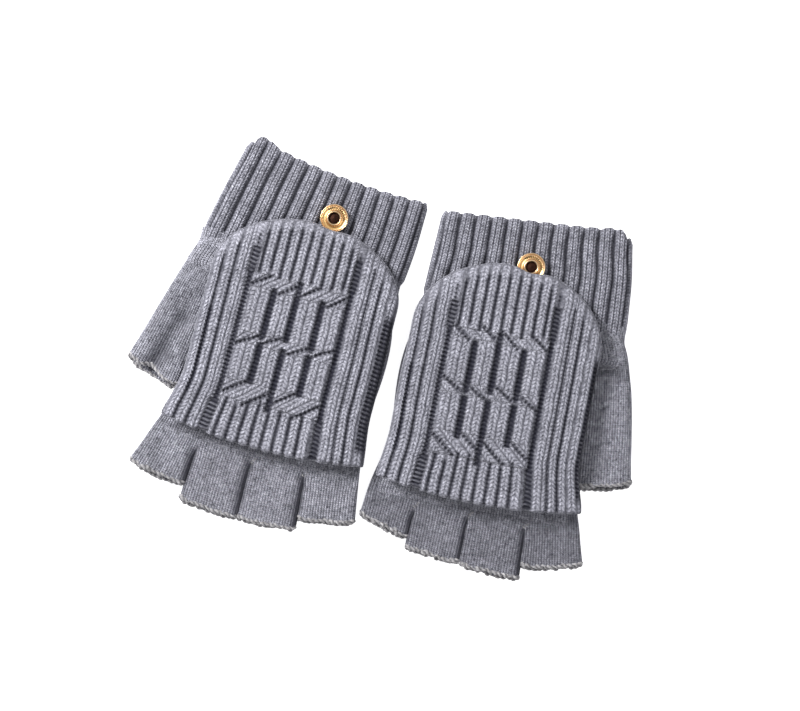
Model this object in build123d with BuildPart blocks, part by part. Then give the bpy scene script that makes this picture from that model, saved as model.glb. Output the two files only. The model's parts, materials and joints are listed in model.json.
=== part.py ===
"""A pair of knitted flip-top mittens, lying flat with the covers folded back and looped over their buttons.

Millimetres, +Z up. The row's origin is the middle of the pair on the surface that it lies on. Fingers point to -Y.
Each mitten is drawn in its own frame: u runs towards the thumb from the middle of the cover, y runs from the
fingers to the cuff, and z is the height. The left and right mittens share one design; only their lie differs.
"""

from build123d import *
from collections import namedtuple
from math import cos, radians, sin
import os

# How each mitten lies: where its frame stands, how far it is turned, and how its loose ends have fallen.
# fingers gives each stub's two base edges on the crotch line, then the two corners of its open end, in u and y.
# thumb_tip and cuff_end are the corners of those open ends. tip_y is the cover's far end, and button_u is the button's.
Lie = namedtuple(
    "Lie", "name thumb_sign origin turn knuckle_edges fingers thumb_outer thumb_tip cuff_end tip_y button_u"
)
LEFT = Lie(
    name="left",
    thumb_sign=-1,
    origin=(-58.310, -39.471),
    turn=15.0,
    knuckle_edges=(-50.0, 51.0),
    fingers={
        "index": ((51.0, 29.6), ((59.5, -27.5), (33.5, -33.0))),
        "middle": ((29.2, 2.4), ((31.0, -40.0), (3.2, -42.0))),
        "ring": ((2.0, -24.8), ((1.2, -42.0), (-25.5, -39.5))),
        "little": ((-25.2, -50.0), ((-29.0, -35.0), (-54.0, -29.0))),
    },
    thumb_outer=61.0,
    thumb_tip=((52.5, 13.0), (74.5, 22.0)),
    cuff_end=((44.3, 144.0), (-48.0, 133.5)),
    tip_y=110.0,
    button_u=-6.3,
)
RIGHT = Lie(
    name="right",
    thumb_sign=1,
    origin=(49.790, -66.471),
    turn=10.8,
    knuckle_edges=(-53.0, 49.5),
    fingers={
        "index": ((49.5, 26.0), ((55.5, -26.0), (28.5, -33.0))),
        "middle": ((25.6, -2.6), ((26.5, -38.5), (-2.6, -37.0))),
        "ring": ((-3.0, -29.6), ((-4.0, -36.5), (-29.5, -33.5))),
        "little": ((-30.0, -53.0), ((-32.0, -29.0), (-55.0, -21.5))),
    },
    thumb_outer=63.0,
    thumb_tip=((50.5, 11.0), (73.0, 17.0)),
    cuff_end=((50.5, 141.0), (-43.0, 134.0)),
    tip_y=114.0,
    button_u=4.6,
)

# Heights
hand_thick = 10.0  # two knitted walls and the air between them
wall = 1.7
finger_thick = 6.8
finger_wall = 1.3
thumb_z = (0.3, 8.5)
finger_lift = hand_thick - finger_thick  # the stubs curl clear of the surface by this much
sheet = 1.8  # back panel of the cover
front_sheet = 2.8  # cabled front panel of the cover
panel_gap = 0.2
hinge_z = hand_thick + panel_gap + sheet / 2
floor_gap = 0.3
pouch_top = 2 * hinge_z - floor_gap  # turned right over, the front panel runs just above the surface
fit_gap = 0.05

# Plan of the hand, in u and y
knuckle_y = 8.0
crotch_y = -7.0
thumb_y = 70.0  # below this the palm narrows and the thumb stands beside it
wrist_y = 88.0
little_edge = -50.0
palm_thumb_edge = 46.0
wrist_edges = (-45.5, 56.5)
palm_lift_start = 34.0
palm_lift_end = 22.0

# Finger and thumb openings
binding_length = 1.8
binding_proud = 0.15

# Cover, in u and y
cover_thumb_edge = 46.0
cover_little_edge = -48.0
mouth_thumb = (50.0, 0.0)
mouth_little = (-50.5, 0.0)
mouth_bow = -5.0
flare_y = 25.0  # the sides are straight above this
tip_start_y = 78.0
rim_wide = 1.6
mouth_hem = 2.0
rise_start_y = 60.0
rise_end_y = 99.0
tip_front_drop = 1.8

# Knuckle seam: a sewn cord that the cover's hem turns on
cord_r = 0.5
hem_r = 1.0
seam_half = 42.0
tack_count = 7
tack_r = 0.45
tack_slot = 2.0

# Button, in y, and its radii
button_y = 115.0
cap_r = 7.1
rim_ring_r = 6.3
eye_ring_r = 4.2
eye_r = 2.7
hub_r = 2.4
tack_shank_r = 1.25
cap_floor = hand_thick + 1.6
plate_thick = 1.0
rim_ring_high = 1.9
eye_ring_high = 2.4
nail_disc_r = 5.0
nail_disc_thick = 0.8
nail_flare_r = 1.9
nail_flare_thick = 0.2
nail_dome = 0.5
edge_round = 0.35
eye_round = 0.5
plate_round = 0.1
tip_floor = cap_floor + eye_ring_high + 0.4  # underside of the cover's tip, which passes over the button

# Blanks and cutters run this far past the pieces that they shape
beyond = 80.0

# Elastic loop
loop_r = 0.55
loop_turn_r = 3.2
loop_bend_y = 109.0
loop_root_y = 100.0
bar_tack = (10.0, 4.0, 0.7)


def base(lie):
    """The mitten's own frame on the surface it lies on."""
    turn = radians(-lie.turn)
    return Plane(origin=(*lie.origin, 0), x_dir=(cos(turn), sin(turn), 0), z_dir=(0, 0, 1))


def level(lie, z):
    """A plan-view plane at height z."""
    return base(lie).offset(z)


def across(lie, y):
    """A plane square to the hand at y: sketch x is the frame's x, sketch y is the height."""
    frame = base(lie)
    return Plane(origin=frame.from_local_coords((0, y, 0)), x_dir=frame.x_dir, z_dir=-frame.y_dir)


def lengthwise(lie, x=0.0):
    """A plane along the hand: sketch x is the frame's y, sketch y is the height."""
    frame = base(lie)
    return Plane(origin=frame.from_local_coords((x, 0, 0)), x_dir=frame.y_dir, z_dir=frame.x_dir)


def flat_tube_section(plane, x_range, z_range):
    """A flattened tube's outline, with full round sides, on a plane square to it."""
    low, high = sorted(x_range)
    with BuildSketch(plane) as section:
        with Locations(((low + high) / 2, sum(z_range) / 2)):
            SlotOverall(high - low, z_range[1] - z_range[0])
    return section.sketch


def end_section(lie, corners, z_range, inset=0.0, along=0.0):
    """A flattened tube's outline square to a slanting open end, given the end's two corners in u and y."""
    frame = base(lie)
    a, b = (Vector(lie.thumb_sign * u, y, 0) for u, y in corners)
    if a.X > b.X:
        a, b = b, a
    run = (b - a).normalized()
    out = Vector(run.Y, -run.X, 0)
    middle = (a + b) * 0.5 + out * along
    place = Plane(
        origin=frame.from_local_coords(middle),
        x_dir=frame.from_local_coords(middle + run) - frame.from_local_coords(middle),
        z_dir=frame.from_local_coords(middle + out) - frame.from_local_coords(middle),
    )
    half = (b - a).length / 2 - inset
    return flat_tube_section(place, (-half, half), shrink(z_range, inset))


def signed(lie, u_range):
    return tuple(lie.thumb_sign * u for u in u_range)


def button_place(lie):
    return lie.thumb_sign * lie.button_u, button_y


def shrink(values, amount):
    low, high = sorted(values)
    return low + amount, high - amount


def write(piece, name):
    piece.part.label = name
    export_step(piece.part, f"parts/{name}.step")


def flat_tube(lie, stations, inset=0.0):
    """Lofts a flattened tube through stations of (y, u range, z range), each pulled in by inset."""
    return [
        flat_tube_section(
            across(lie, y), shrink(signed(lie, u_range), inset), shrink(z_range, inset)
        )
        for y, u_range, z_range in stations
    ]


def make_cuff(lie):
    full = (0.0, hand_thick)
    start = across(lie, wrist_y + fit_gap)
    with BuildPart() as cuff:
        loft([flat_tube_section(start, signed(lie, wrist_edges), full), end_section(lie, lie.cuff_end, full)])
        inner = shrink(signed(lie, wrist_edges), wall)
        inner_z = shrink(full, wall)
        loft(
            [flat_tube_section(start, inner, inner_z), end_section(lie, lie.cuff_end, full, wall)],
            mode=Mode.SUBTRACT,
        )
        with BuildSketch(level(lie, hand_thick)) as tack_hole:
            with Locations(button_place(lie)):
                Circle(tack_shank_r + fit_gap)
        extrude(tack_hole.sketch, amount=-hand_thick / 2, mode=Mode.SUBTRACT)
    write(cuff, f"{lie.name}_cuff")


def make_hand(lie):
    full = (0.0, hand_thick)
    raised = (finger_lift, hand_thick)
    wrist = ((wrist_y, wrist_edges, full), (thumb_y, (little_edge + 1.5, lie.thumb_outer), full))
    upper_palm = (
        (thumb_y, (little_edge + 1.5, palm_thumb_edge), full),
        (palm_lift_start, (little_edge + 0.5, palm_thumb_edge), full),
    )
    lift = (
        (palm_lift_start, (little_edge + 0.5, palm_thumb_edge), full),
        (palm_lift_end, (little_edge, palm_thumb_edge), raised),
    )
    knuckles = ((palm_lift_end, (little_edge, palm_thumb_edge), raised), (crotch_y, lie.knuckle_edges, raised))
    with BuildPart() as hand:
        for stations in (wrist, upper_palm, lift, knuckles):
            loft(flat_tube(lie, stations))
        for stations in (wrist, upper_palm, lift, knuckles):
            loft(flat_tube(lie, stations, wall), mode=Mode.SUBTRACT)
    write(hand, f"{lie.name}_hand")


def make_finger(lie, finger):
    base_edges, corners = lie.fingers[finger]
    z_range = (finger_lift, hand_thick)
    start = across(lie, crotch_y - fit_gap)
    with BuildPart() as stub:
        loft([flat_tube_section(start, signed(lie, base_edges), z_range), end_section(lie, corners, z_range)])
        inner = shrink(signed(lie, base_edges), finger_wall)
        inner_z = shrink(z_range, finger_wall)
        loft(
            [flat_tube_section(start, inner, inner_z), end_section(lie, corners, z_range, finger_wall)],
            mode=Mode.SUBTRACT,
        )
    write(stub, f"{lie.name}_{finger}_stub")


def binding_ring(lie, corners, z_range, inset):
    """A short bind-off ring that carries a tube on past its open end, with the tube's wall as its inset."""
    near, far = fit_gap, fit_gap + binding_length
    loft(
        [
            end_section(lie, corners, z_range, 0.0, near),
            end_section(lie, corners, z_range, -binding_proud, far),
        ]
    )
    loft(
        [
            end_section(lie, corners, z_range, inset, near),
            end_section(lie, corners, z_range, inset, far),
        ],
        mode=Mode.SUBTRACT,
    )


def make_finger_edges(lie):
    with BuildPart() as edges:
        for _, corners in lie.fingers.values():
            binding_ring(lie, corners, (finger_lift, hand_thick), finger_wall)
    write(edges, f"{lie.name}_finger_edges")


def make_thumb(lie):
    root_edges = (palm_thumb_edge + 0.6, lie.thumb_outer)
    start = across(lie, thumb_y - fit_gap)
    root_z = (0.0, hand_thick)
    with BuildPart() as thumb:
        loft(
            [flat_tube_section(start, signed(lie, root_edges), root_z), end_section(lie, lie.thumb_tip, thumb_z)]
        )
        inner = shrink(signed(lie, root_edges), wall)
        loft(
            [
                flat_tube_section(start, inner, shrink(root_z, wall)),
                end_section(lie, lie.thumb_tip, thumb_z, wall),
            ],
            mode=Mode.SUBTRACT,
        )
    write(thumb, f"{lie.name}_thumb")


def make_thumb_edge(lie):
    with BuildPart() as edge:
        binding_ring(lie, lie.thumb_tip, thumb_z, wall)
    write(edge, f"{lie.name}_thumb_edge")


def cover_outline(lie, inset=0.0, low_y=None):
    """The cover in plan: flared at the mouth, straight sides and a half-ellipse tip. Cut off below low_y."""
    s = lie.thumb_sign
    middle = (cover_thumb_edge + cover_little_edge) / 2
    half = (cover_thumb_edge - cover_little_edge) / 2 - inset
    thumb_side = s * (middle + half)
    little_side = s * (middle - half)
    little_mouth = (s * (mouth_little[0] + inset), mouth_little[1])
    thumb_mouth = (s * (mouth_thumb[0] - inset), mouth_thumb[1])
    with BuildSketch(level(lie, 0)) as outline:
        with BuildLine():
            ThreePointArc(little_mouth, (0, mouth_bow), thumb_mouth)
            Polyline(thumb_mouth, (thumb_side, flare_y), (thumb_side, tip_start_y))
            EllipticalCenterArc((s * middle, tip_start_y), half, lie.tip_y - inset - tip_start_y, arc_size=180)
            Polyline((little_side, tip_start_y), (little_side, flare_y), little_mouth)
        make_face()
        if low_y is not None:
            with Locations((0, low_y - beyond)):
                Rectangle(2 * beyond, 2 * beyond, mode=Mode.SUBTRACT)
    return outline.sketch


def back_floor():
    """Underside of the back panel, along y: flat over the hand, then rising to pass over the button."""
    return (rise_start_y, hinge_z - sheet / 2), (rise_end_y, tip_floor)


def side_profile(lie, under, over, low_y):
    """A shape in side view between two edges. Each edge is flat to its first point, then changes height in an
    S curve to its second point, and is flat past the tip."""
    past_tip = lie.tip_y + wall
    (u_low, u_high), (o_low, o_high) = under, over
    middle_y = (rise_start_y + rise_end_y) / 2
    with BuildSketch(lengthwise(lie)) as side:
        with BuildLine():
            Polyline((low_y, o_low[1]), (low_y, u_low[1]), u_low)
            Bezier(u_low, (middle_y, u_low[1]), (middle_y, u_high[1]), u_high)
            Polyline(u_high, (past_tip, u_high[1]), (past_tip, o_high[1]), o_high)
            Bezier(o_high, (middle_y, o_high[1]), (middle_y, o_low[1]), o_low)
            Line(o_low, (low_y, o_low[1]))
        make_face()
    return side.sketch


def lifted(edge, height):
    return tuple((y, z + height) for y, z in edge)


def front_floor():
    top = pouch_top - front_sheet
    return (rise_start_y, top), (rise_end_y, top - tip_front_drop)


def tack_places():
    step = 2 * seam_half / tack_count
    return [-seam_half + step * (i + 0.5) for i in range(tack_count)]


def make_cover_back(lie):
    under = back_floor()
    with BuildPart() as back:
        extrude(side_profile(lie, under, lifted(under, sheet), knuckle_y), amount=beyond, both=True)
        extrude(cover_outline(lie, rim_wide + fit_gap, knuckle_y), amount=beyond, mode=Mode.INTERSECT)
        with BuildSketch(lengthwise(lie)) as hem:
            with Locations((knuckle_y, hinge_z)):
                Circle(hem_r)
        extrude(hem.sketch, amount=seam_half, both=True)
        with BuildSketch(lengthwise(lie)) as bore:
            with Locations((knuckle_y, hinge_z)):
                Circle(cord_r + fit_gap)
        extrude(bore.sketch, amount=beyond, both=True, mode=Mode.SUBTRACT)
        for x in tack_places():
            with BuildSketch(lengthwise(lie, x)) as slot:
                with Locations((knuckle_y, hinge_z)):
                    Rectangle(3 * hem_r, 3 * hem_r)
            extrude(slot.sketch, amount=tack_slot / 2, both=True, mode=Mode.SUBTRACT)
    write(back, f"{lie.name}_cover_back")


def make_knuckle_seam(lie):
    with BuildPart() as seam:
        with BuildSketch(lengthwise(lie)) as cord:
            with Locations((knuckle_y, hinge_z)):
                Circle(cord_r)
        extrude(cord.sketch, amount=seam_half + 1, both=True)
        with BuildSketch(level(lie, hand_thick)) as tacks:
            with Locations(*[(x, knuckle_y) for x in tack_places()]):
                Circle(tack_r)
        extrude(tacks.sketch, amount=hinge_z - hand_thick)
    write(seam, f"{lie.name}_knuckle_seam")


def mouth_strip(lie, wide):
    """Everything in plan on the finger side of the mouth's bowed edge moved back by wide."""
    s = lie.thumb_sign
    little_end = (s * mouth_little[0] * 1.2, wide)
    thumb_end = (s * mouth_thumb[0] * 1.2, wide)
    with BuildSketch(level(lie, 0)) as strip:
        with BuildLine():
            ThreePointArc(little_end, (0, mouth_bow + wide), thumb_end)
            Polyline(thumb_end, (thumb_end[0], 3 * mouth_bow), (little_end[0], 3 * mouth_bow), little_end)
        make_face()
    return strip.sketch


def front_blank(lie):
    """The front panel's sheet with its side profile, still running out past the mouth."""
    under = front_floor()
    extrude(side_profile(lie, under, lifted(under, front_sheet), 4 * mouth_bow), amount=beyond, both=True)


def make_cover_front(lie):
    with BuildPart() as front:
        front_blank(lie)
        extrude(cover_outline(lie, rim_wide + fit_gap), amount=beyond, mode=Mode.INTERSECT)
        extrude(mouth_strip(lie, mouth_hem + fit_gap), amount=beyond, mode=Mode.SUBTRACT)
    write(front, f"{lie.name}_cover_front")


def make_cover_hem(lie):
    """The free edge of the front panel, bowed out over the finger roots."""
    with BuildPart() as hem:
        front_blank(lie)
        extrude(cover_outline(lie), amount=beyond, mode=Mode.INTERSECT)
        extrude(mouth_strip(lie, mouth_hem), amount=beyond, mode=Mode.INTERSECT)
    write(hem, f"{lie.name}_cover_hem")


def make_cover_rim(lie):
    """The linked side and tip wall that joins the two panels from one end of the knuckle seam to the other."""
    with BuildPart() as rim:
        over = lifted(front_floor(), front_sheet)
        extrude(side_profile(lie, back_floor(), over, knuckle_y), amount=beyond, both=True)
        extrude(cover_outline(lie, 0.0, knuckle_y), amount=beyond, mode=Mode.INTERSECT)
        extrude(cover_outline(lie, rim_wide), amount=beyond, mode=Mode.SUBTRACT)
    write(rim, f"{lie.name}_cover_rim")


def make_loop(lie):
    """An elastic cord that runs from the bar tack under the cover's tip, round the button's hub and back."""
    x, y = button_place(lie)
    near_x, far_x = x - loop_turn_r, x + loop_turn_r
    z = (hand_thick + cap_floor) / 2
    half_y = (loop_root_y + loop_bend_y) / 2
    root_z = tip_floor - bar_tack[2] - loop_r - 2 * fit_gap
    with BuildPart() as loop:
        with BuildLine(base(lie)) as path:
            Bezier((near_x, loop_root_y, root_z), (near_x, half_y, root_z), (near_x, half_y, z), (near_x, loop_bend_y, z))
            Line((near_x, loop_bend_y, z), (near_x, y, z))
            ThreePointArc((near_x, y, z), (x, y + loop_turn_r, z), (far_x, y, z))
            Line((far_x, y, z), (far_x, loop_bend_y, z))
            Bezier((far_x, loop_bend_y, z), (far_x, half_y, z), (far_x, half_y, root_z), (far_x, loop_root_y, root_z))
        course = path.wire()
        with BuildSketch(Plane(origin=course @ 0, z_dir=course % 0)):
            Circle(loop_r)
        sweep(path=course)
    write(loop, f"{lie.name}_loop")


def make_bar_tack(lie):
    """The stitched patch that holds the loop's two ends under the tip of the cover."""
    with BuildPart() as tack:
        with BuildSketch(level(lie, tip_floor - fit_gap)) as patch:
            with Locations((lie.thumb_sign * lie.button_u, loop_root_y + bar_tack[1] / 2)):
                Rectangle(bar_tack[0], bar_tack[1])
        extrude(patch.sketch, amount=-bar_tack[2])
        fillet(tack.edges().filter_by(Axis.Z), radius=bar_tack[1] / 4)
    write(tack, f"{lie.name}_loop_tack")


def button_profile_plane(lie):
    """Sketch x is the distance from the button's axis, sketch y is the height."""
    frame = base(lie)
    middle = frame.from_local_coords((*button_place(lie), 0))
    return Plane(origin=middle, x_dir=frame.x_dir, z_dir=-frame.y_dir)


def button_axis(lie):
    return Axis(button_profile_plane(lie).origin, (0, 0, 1))


def ring_section(lie, inner, outer, low, high, round_r):
    """One turned ring of the button, given its radii and heights, with its top edges rounded."""
    with BuildSketch(button_profile_plane(lie)) as section:
        with BuildLine():
            Polyline((inner, high - round_r), (inner, low), (outer, low), (outer, high - round_r))
            RadiusArc((outer, high - round_r), (outer - round_r, high), -round_r)
            Line((outer - round_r, high), (inner + round_r, high))
            RadiusArc((inner + round_r, high), (inner, high - round_r), -round_r)
        make_face()
    return section.sketch


def make_button_cap(lie):
    plate_top = cap_floor + plate_thick
    bore_r = tack_shank_r + fit_gap
    rings = (
        (rim_ring_r, cap_r, cap_floor, cap_floor + rim_ring_high, edge_round),
        (eye_r, eye_ring_r, cap_floor, cap_floor + eye_ring_high, eye_round),
        (bore_r, rim_ring_r + 2 * fit_gap, cap_floor, plate_top, plate_round),
        (bore_r, hub_r, hand_thick + 2 * fit_gap, plate_top, plate_round),
    )
    with BuildPart() as cap:
        for ring in rings:
            revolve(ring_section(lie, *ring), axis=button_axis(lie))
    write(cap, f"{lie.name}_button_cap")


def make_button_tack(lie):
    """A nail whose disc bears on the cuff from inside; its flared end keeps the cap on."""
    disc_top = hand_thick - wall - fit_gap
    flare_low = cap_floor + plate_thick + fit_gap
    with BuildPart() as tack:
        with BuildSketch(button_profile_plane(lie)) as profile:
            with BuildLine():
                Polyline(
                    (0, disc_top - nail_disc_thick),
                    (nail_disc_r, disc_top - nail_disc_thick),
                    (nail_disc_r, disc_top),
                    (tack_shank_r, disc_top),
                    (tack_shank_r, flare_low),
                    (nail_flare_r, flare_low),
                    (nail_flare_r, flare_low + nail_flare_thick),
                    (0, flare_low + nail_dome),
                    (0, disc_top - nail_disc_thick),
                )
            make_face()
        revolve(profile.sketch, axis=button_axis(lie))
    write(tack, f"{lie.name}_button_tack")


os.makedirs("parts", exist_ok=True)
for mitten in (LEFT, RIGHT):
    make_cuff(mitten)
    make_hand(mitten)
    for finger_name in mitten.fingers:
        make_finger(mitten, finger_name)
    make_finger_edges(mitten)
    make_thumb(mitten)
    make_thumb_edge(mitten)
    make_knuckle_seam(mitten)
    make_cover_back(mitten)
    make_cover_front(mitten)
    make_cover_rim(mitten)
    make_cover_hem(mitten)
    make_loop(mitten)
    make_bar_tack(mitten)
    make_button_cap(mitten)
    make_button_tack(mitten)
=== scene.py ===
"""Looks for the pair of knitted flip-top mittens.

Each mitten is drawn in its own frame, in millimetres: x runs across the hand along the cover's hinge, y runs from the
fingers to the cuff, and z is the height. Mitten.world turns that into the row's frame, in metres.
"""

import json
import math

import bpy
import numpy as np
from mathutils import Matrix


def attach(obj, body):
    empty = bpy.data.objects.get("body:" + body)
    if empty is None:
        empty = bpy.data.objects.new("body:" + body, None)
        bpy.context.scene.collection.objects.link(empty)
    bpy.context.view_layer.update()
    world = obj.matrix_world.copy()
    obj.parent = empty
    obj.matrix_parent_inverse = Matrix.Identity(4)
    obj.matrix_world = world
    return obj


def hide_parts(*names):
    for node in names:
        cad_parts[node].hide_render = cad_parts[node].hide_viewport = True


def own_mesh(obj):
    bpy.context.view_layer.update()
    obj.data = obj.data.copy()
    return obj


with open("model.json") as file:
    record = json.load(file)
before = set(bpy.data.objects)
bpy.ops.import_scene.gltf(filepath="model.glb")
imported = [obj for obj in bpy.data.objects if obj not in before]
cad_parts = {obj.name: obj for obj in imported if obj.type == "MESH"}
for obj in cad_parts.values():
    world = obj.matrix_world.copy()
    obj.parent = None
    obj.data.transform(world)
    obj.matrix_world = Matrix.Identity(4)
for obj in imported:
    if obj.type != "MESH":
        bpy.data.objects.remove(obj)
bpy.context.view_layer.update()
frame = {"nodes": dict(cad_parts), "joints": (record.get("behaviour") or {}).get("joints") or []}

MM = 0.001

# Plan of a mitten, along its own y
KNUCKLE_Y = 8.0  # the hinge line
CROTCH_Y = -7.0
WEB_Y = -11.5  # the hand's knitting runs this far over the roots of the stubs
PALM_LIFT = (22.0, 34.0)
THUMB_Y = 70.0
WRIST_Y = 88.0
SPLIT_Y = KNUCKLE_Y + 0.5  # the hand and the finger stubs part here, under the cover

# Heights
HAND_TOP = 10.0
FINGER_LOW = 3.2

# Knitted fabric
WALE = 1.38  # width of one column of stitches in the fine plain knit
COURSE = 1.1
FINE_THICK = 1.3
RIB_THICK = 1.7
FINGERS = ("index", "middle", "ring", "little")


def smooth(low, high, value):
    t = np.clip((value - low) / (high - low), 0, 1)
    return t * t * (3 - 2 * t)


def dome(share):
    """A quarter circle's rise from 0 to 1 as share goes from 0 to 1."""
    return np.sqrt(1 - (1 - np.clip(share, 0, 1)) ** 2)


def ripple(x, y, wave, seed, count=9):
    """Smooth noise of about that wavelength, mostly between -1 and 1, from a few plane waves."""
    rng = np.random.default_rng(seed)
    total = np.zeros(np.broadcast(x, y).shape)
    for _ in range(count):
        angle, phase, stretch = rng.uniform(0, math.tau), rng.uniform(0, math.tau), rng.uniform(0.6, 1.7)
        k = math.tau / (wave * stretch)
        total = total + np.sin(k * (x * math.cos(angle) + y * math.sin(angle)) + phase)
    return total / math.sqrt(count)


class Mitten:
    """One mitten's own frame, read from its cover's hinge, and what its CAD nodes say about its plan."""

    def __init__(self, side):
        hinge = next(j for j in frame["joints"] if j["name"] == f"{side}_cover_flip")
        self.side = side
        self.thumb = -1 if side == "left" else 1
        self.seed = 11 if side == "left" else 37
        self.x_dir = np.array(hinge["axis"], float)
        self.y_dir = np.array([-self.x_dir[1], self.x_dir[0], 0.0])
        hinge_at = np.array(hinge["pos_m"], float)
        self.hinge_z = hinge_at[2] / MM
        self.origin = hinge_at * [1, 1, 0] - self.y_dir * KNUCKLE_Y * MM
        self.tip_y = self.node("cover_rim")[:, 1].max()
        self.button_x = self.node("button_cap")[:, 0].mean()

    def world(self, points):
        p = np.asarray(points, float) * MM
        flat = p[..., :1] * self.x_dir + p[..., 1:2] * self.y_dir
        return self.origin + flat + p[..., 2:3] * [0.0, 0.0, 1.0]

    def node(self, name):
        """A CAD node's vertices in this frame."""
        mesh = frame["nodes"][f"{self.side}_{name}"].data
        co = np.empty(len(mesh.vertices) * 3)
        mesh.vertices.foreach_get("co", co)
        p = co.reshape(-1, 3) - self.origin
        return np.stack([p @ self.x_dir, p @ self.y_dir, p[:, 2]], 1) / MM

    def edges_at(self, name, y):
        p = self.node(name)
        x = p[np.abs(p[:, 1] - y) < 0.3, 0]
        return x.min(), x.max()

    def end_corners(self, name, far=-1):
        """The two plan corners of a tube's open end, low x first. far is -1 for the finger side, 1 for the cuff's."""
        p = self.node(name)
        return p[np.argmin(p[:, 0] - far * p[:, 1]), :2], p[np.argmax(p[:, 0] + far * p[:, 1]), :2]


def curve(points, t):
    """A smooth curve through points, at shares t of its length."""
    points = np.array(points, float)
    at = np.r_[0, np.cumsum(np.linalg.norm(np.diff(points, axis=0), axis=1))]
    at /= at[-1]
    slope = np.gradient(points, at, axis=0)
    i = np.clip(np.searchsorted(at, t, side="right") - 1, 0, len(at) - 2)
    h = (at[i + 1] - at[i])[:, None]
    s = (t - at[i])[:, None] / h
    return (
        (2 * s**3 - 3 * s**2 + 1) * points[i]
        + (s**3 - 2 * s**2 + s) * h * slope[i]
        + (3 * s**2 - 2 * s**3) * points[i + 1]
        + (s**3 - s**2) * h * slope[i + 1]
    )


# ---------------------------------------------------------------- meshes


def grid_faces(rows, columns, close_u=False, close_v=False):
    """A grid's quads as vertex indices, and as indices into corner arrays of one more row and column."""
    j, i = np.meshgrid(
        np.arange(rows if close_v else rows - 1), np.arange(columns if close_u else columns - 1), indexing="ij"
    )
    i2, j2 = (i + 1) % columns, (j + 1) % rows
    verts = np.stack([j * columns + i, j * columns + i2, j2 * columns + i2, j2 * columns + i], -1)
    wide = columns + 1
    corners = np.stack([j * wide + i, j * wide + i + 1, (j + 1) * wide + i + 1, (j + 1) * wide + i], -1)
    return verts.reshape(-1, 4), corners.reshape(-1, 4)


def signed_volume(mesh):
    mesh.calc_loop_triangles()
    tris = np.zeros(len(mesh.loop_triangles) * 3, np.int32)
    mesh.loop_triangles.foreach_get("vertices", tris)
    co = np.zeros(len(mesh.vertices) * 3)
    mesh.vertices.foreach_get("co", co)
    a, b, c = (co.reshape(-1, 3)[tris.reshape(-1, 3)[:, k]] for k in range(3))
    return float(np.einsum("ij,ij->i", a - a[0], np.cross(b - a[0], c - a[0])).sum())


def make_piece(mitten, name, verts, faces, material, uv=None, shades=None, body="hand", replaces=(), slot=None):
    """A mesh object from the mitten's own millimetres. uv holds (wale, course) for each face's corners."""
    mesh = bpy.data.meshes.new(f"{mitten.side}_{name}")
    mesh.from_pydata(mitten.world(verts).tolist(), [], [list(map(int, f)) for f in faces])
    if uv is not None:
        layer = mesh.uv_layers.new(name="knit")
        layer.data.foreach_set("uv", np.concatenate(uv).astype(np.float32).ravel())
    if signed_volume(mesh) < 0:
        mesh.flip_normals()
    mesh.polygons.foreach_set("use_smooth", np.ones(len(mesh.polygons), bool))
    for key, values in (shades or {}).items():
        attribute = mesh.attributes.new(key, "FLOAT", "POINT")
        attribute.data.foreach_set("value", np.asarray(values, np.float32).ravel())
    mesh.materials.append(material)
    piece = bpy.data.objects.new(mesh.name, mesh)
    bpy.context.scene.collection.objects.link(piece)
    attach(piece, f"{mitten.side}_{body}")
    if replaces:
        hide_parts(*[f"{mitten.side}_{node}" for node in replaces])
    return piece


def join(parts):
    """Joins (verts, faces, shades) parts into one set."""
    verts, faces, shades, start = [], [], {}, 0
    for v, f, s in parts:
        verts.append(v)
        faces += [[index + start for index in face] for face in f]
        for key, values in s.items():
            shades.setdefault(key, []).append(values)
        start += len(v)
    return np.vstack(verts), faces, {key: np.concatenate(values) for key, values in shades.items()}


# ---------------------------------------------------------------- flattened tubes


def section(width, low, high, corner, count):
    """A flattened tube's outline as (across, height), evenly spaced from the middle of its underside.
    corner is 2 for full round sides, and more for boxier ones."""
    half = (high - low) / 2
    flat = max(width / 2 - half, 0.1)
    a = np.linspace(-math.pi / 2, math.pi / 2, 41)
    side_x = flat + half * np.abs(np.cos(a)) ** (2 / corner)
    side_z = half * np.sign(np.sin(a)) * np.abs(np.sin(a)) ** (2 / corner)
    x = np.r_[0, side_x, -side_x[::-1], 0]
    z = np.r_[-half, side_z, side_z[::-1], -half]
    run = np.r_[0, np.cumsum(np.hypot(np.diff(x), np.diff(z)))]
    at = np.linspace(0, run[-1], count, endpoint=False)
    return np.interp(at, run, x), np.interp(at, run, z) + (low + high) / 2


def lane(left, right, t, low, high, corner, count):
    """Rows of a flattened tube between two plan curves. low, high and corner hold one value per row."""
    a, b = curve(left, t), curve(right, t)
    low, high, corner = (np.broadcast_to(v, len(t)) for v in (low, high, corner))
    rows = []
    for k in range(len(t)):
        width = np.linalg.norm(b[k] - a[k])
        x, z = section(width, low[k], high[k], corner[k], count)
        along = (b[k] - a[k]) / width
        middle = (a[k] + b[k]) / 2
        rows.append(np.column_stack([middle[0] + x * along[0], middle[1] + x * along[1], z]))
    return np.array(rows)


def outward(grid):
    """Outward normals of a tube's rows."""
    around = np.roll(grid, -1, axis=1) - np.roll(grid, 1, axis=1)
    along = np.gradient(grid, axis=0)
    n = np.cross(around, along)
    n /= np.maximum(np.linalg.norm(n, axis=2, keepdims=True), 1e-9)
    centre = grid.mean(axis=1, keepdims=True)
    return n if ((grid - centre) * n).sum() > 0 else -n


def end_roll(edge, inside, before, thick):
    """Rings that roll a tube's wall over its open end, from its outer edge to its inner edge."""
    out = edge - before
    out = out / np.maximum(np.linalg.norm(out, axis=1, keepdims=True), 1e-9)
    middle, half = (edge + inside) / 2, (edge - inside) / 2
    angles = np.linspace(0, math.pi, 7)[1:-1]
    return np.array([middle + half * math.cos(a) + out * thick / 2 * math.sin(a) for a in angles])


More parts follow.
